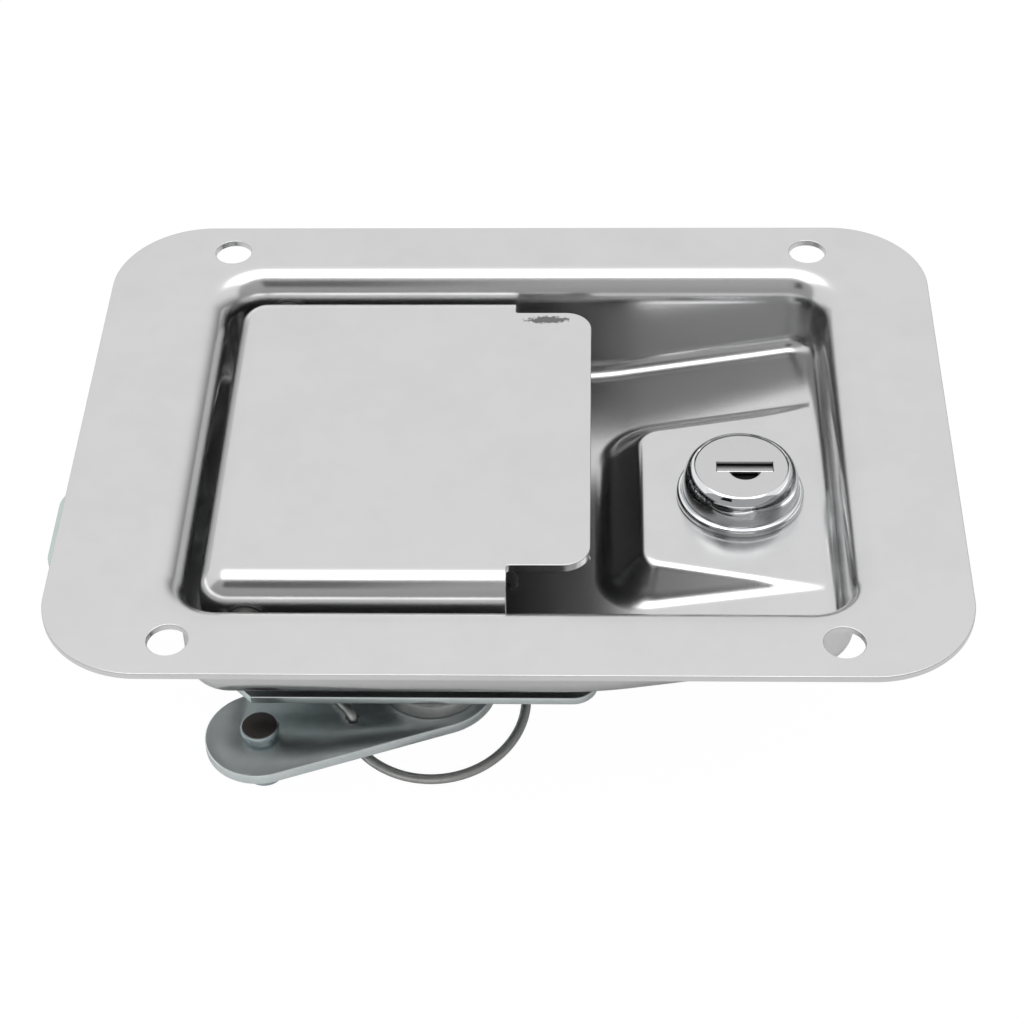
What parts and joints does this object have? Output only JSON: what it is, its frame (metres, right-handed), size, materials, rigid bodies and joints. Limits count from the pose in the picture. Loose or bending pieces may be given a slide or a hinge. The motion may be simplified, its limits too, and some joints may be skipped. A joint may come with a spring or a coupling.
{
  "type": "flush paddle latch",
  "caption": "Flush stainless paddle latch in a drawn dish, with a key lock, a spring-returned slam bolt and mirrored cranks that work top and bottom rods.",
  "frame": {"origin": "centre of the four panel holes, on the rear face of the flange that seats on the panel", "axes": "+Z out of the panel towards the user, +X from the slam bolt to the key lock, and the front half at -Y mirrors the back half at +Y"},
  "size_m": [0.1476, 0.108, 0.0395],
  "materials": {
    "stainless": "2B cold-rolled stainless sheet, lightly polished",
    "zinc_plate": "clear-blue zinc plated pressed steel",
    "zinc_bolt": "clear-blue zinc plated bolt",
    "pin_steel": "turned steel rod",
    "stud_steel": "turned steel stud, zinc plated",
    "bush_steel": "turned bush, bright zinc",
    "spring_steel": "oil-tempered spring wire",
    "chrome": "bright chrome",
    "satin_plug": "satin nickel",
    "shutter_steel": "bare stamped steel",
    "wafer_brass": "stamped brass"
  },
  "bodies": {
    "dish_body": {"dish": "stainless", "paddle_pin": "pin_steel", "paddle_collars": "pin_steel", "mechanism_bracket": "zinc_plate", "guide_rail_front": "zinc_plate", "guide_rail_back": "zinc_plate", "bracket_rivets": "pin_steel", "hub_bush_front": "bush_steel", "hub_bush_back": "bush_steel", "hub_washer_front": "bush_steel", "hub_washer_back": "bush_steel", "hub_rivet_front": "pin_steel", "hub_rivet_back": "pin_steel", "crank_spring_front": "spring_steel", "crank_spring_back": "spring_steel", "paddle_spring": "spring_steel", "lock_housing": "chrome", "lock_washer": "zinc_plate", "lock_nut": "zinc_plate"},
    "paddle_body": {"paddle": "stainless", "paddle_lever": "zinc_plate"},
    "bolt_body": {"bolt": "zinc_bolt", "bolt_drive_pins": "pin_steel"},
    "crank_front_body": {"crank_front": "zinc_plate", "rod_stud_front": "stud_steel"},
    "crank_back_body": {"crank_back": "zinc_plate", "rod_stud_back": "stud_steel"},
    "plug_body": {"lock_plug": "satin_plug", "lock_wafers": "wafer_brass", "lock_cam": "zinc_plate", "cam_screw": "pin_steel"},
    "shutter_body": {"lock_shutter": "shutter_steel"}
  },
  "joints": [
    {"name": "paddle_hinge", "type": "hinge", "parent": "dish_body", "child": "paddle_body", "pos_m": [-0.04, 0, -0.006], "axis": [0, -1, 0], "range_deg": [0, 32], "stiffness_Nm_per_rad": 0.4, "springref_deg": -17.19, "deforming": ["paddle_spring", "crank_spring_front", "crank_spring_back"]},
    {"name": "bolt_slide", "type": "slide", "parent": "dish_body", "child": "bolt_body", "axis": [1, 0, 0], "range_m": [0, 0.00953]},
    {"name": "crank_front_pivot", "type": "hinge", "parent": "dish_body", "child": "crank_front_body", "pos_m": [-0.0128, -0.0272, -0.0294], "axis": [0, 0, -1], "range_deg": [0, 27.2]},
    {"name": "crank_back_pivot", "type": "hinge", "parent": "dish_body", "child": "crank_back_body", "pos_m": [-0.0128, 0.0272, -0.0294], "axis": [0, 0, 1], "range_deg": [0, 27.2]},
    {"name": "key_turn", "type": "hinge", "parent": "dish_body", "child": "plug_body", "pos_m": [0.03705, 0, -0.0066], "axis": [0, 0, 1], "range_deg": [0, 90]},
    {"name": "shutter_flap", "type": "hinge", "parent": "plug_body", "child": "shutter_body", "pos_m": [0.0376, 0.0004, -0.00798], "axis": [1, 0, 0], "range_deg": [0, 80], "stiffness_Nm_per_rad": 0.00002, "springref_deg": -17.19}
  ],
  "couplings": [
    {"joint": "bolt_slide", "follows": "paddle_hinge", "m_per_rad": 0.017045},
    {"joint": "crank_front_pivot", "follows": "paddle_hinge", "ratio": 0.84898},
    {"joint": "crank_back_pivot", "follows": "paddle_hinge", "ratio": 0.84898}
  ]
}
